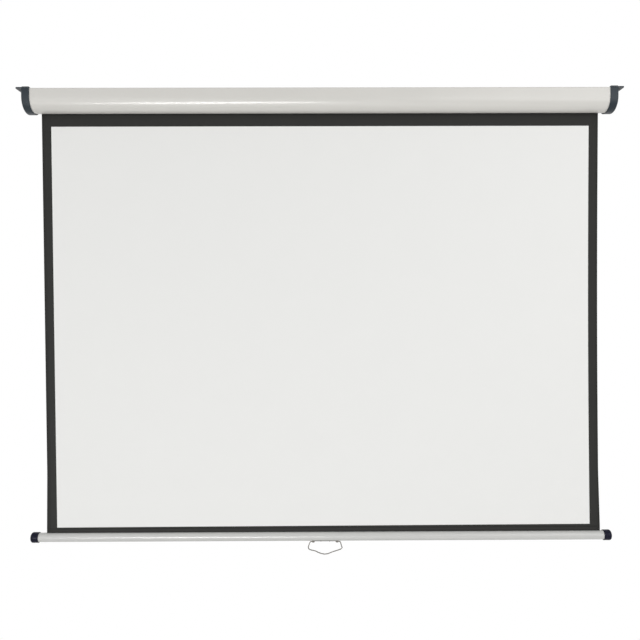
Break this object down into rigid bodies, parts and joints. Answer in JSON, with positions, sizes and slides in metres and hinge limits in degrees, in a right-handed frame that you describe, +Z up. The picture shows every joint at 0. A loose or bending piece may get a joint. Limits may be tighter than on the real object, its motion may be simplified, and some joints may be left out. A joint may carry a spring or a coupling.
{
  "type": "projector screen",
  "caption": "Manual pull-down projection screen with a D-section case, spring roller, bordered white fabric, weighted bottom bar and wire pull handle.",
  "frame": {"origin": "middle of the case's flat back, on the wall, at the height of the roller's axis", "axes": "+X along the screen to the viewer's right, +Y from the viewer to the wall, +Z up"},
  "size_m": [1.602, 0.066, 1.2564],
  "materials": {
    "case_paint": "fine-grained powder coat, pale warm grey",
    "dark_plastic": "moulded ABS, dark blue-grey, satin",
    "zinc_steel": "bright zinc plate",
    "black_steel": "blackened steel",
    "nylon": "natural nylon",
    "spring_steel": "oiled spring steel",
    "screen_white": "matt white coated fabric with black printed border",
    "bar_paint": "satin paint, pale grey",
    "navy_plastic": "moulded, very dark navy, semi-gloss",
    "handle_steel": "nickel-plated wire"
  },
  "bodies": {
    "case": {"case_shell": "case_paint", "left_end_cap": "dark_plastic", "right_end_cap": "dark_plastic", "idle_bracket": "zinc_steel", "spring_bracket": "zinc_steel", "left_bracket_screw_1": "zinc_steel", "left_bracket_screw_2": "zinc_steel", "right_bracket_screw_1": "zinc_steel", "right_bracket_screw_2": "zinc_steel", "left_case_screw": "zinc_steel", "right_case_screw": "zinc_steel", "idle_bush": "nylon", "spindle": "zinc_steel", "ratchet_disc": "black_steel", "spindle_clip": "spring_steel", "spring_collar": "nylon", "torsion_spring": "spring_steel", "fabric_drop": "screen_white"},
    "roller": {"roller_tube": "zinc_steel", "fabric_roll": "screen_white", "idle_plug": "nylon", "idle_pin": "zinc_steel", "spring_plug": "nylon", "tube_anchor": "nylon", "pawl_pin_1": "zinc_steel", "pawl_pin_2": "zinc_steel"},
    "first_pawl": {"pawl_1": "zinc_steel"},
    "second_pawl": {"pawl_2": "zinc_steel"},
    "slat": {"slat_tube": "bar_paint", "left_slat_cap": "navy_plastic", "right_slat_cap": "navy_plastic", "fabric_hem": "screen_white", "hem_rod": "zinc_steel", "handle_plate": "handle_steel", "handle_screw_1": "black_steel", "handle_screw_2": "black_steel"},
    "handle": {"pull_handle": "handle_steel"}
  },
  "joints": [
    {"name": "screen_slide", "type": "slide", "parent": "case", "child": "slat", "axis": [0, 0, 1], "range_m": [0, 1.126], "deforming": ["fabric_drop"]},
    {"name": "roller_turn", "type": "hinge", "parent": "case", "child": "roller", "pos_m": [0, -0.038, 0], "axis": [1, 0, 0], "range_deg": [0, 3120]},
    {"name": "first_pawl_swing", "type": "hinge", "parent": "roller", "child": "first_pawl", "pos_m": [0.7709, -0.038, 0.013], "axis": [1, 0, 0], "range_deg": [0, 20]},
    {"name": "second_pawl_swing", "type": "hinge", "parent": "roller", "child": "second_pawl", "pos_m": [0.7709, -0.038, -0.013], "axis": [1, 0, 0], "range_deg": [0, 20]},
    {"name": "handle_swing", "type": "hinge", "parent": "slat", "child": "handle", "pos_m": [0.0095, -0.01835, -1.18998], "axis": [1, 0, 0], "range_deg": [-100, 100]}
  ],
  "couplings": [
    {"joint": "roller_turn", "follows": "screen_slide", "rad_per_m": 48.2}
  ]
}
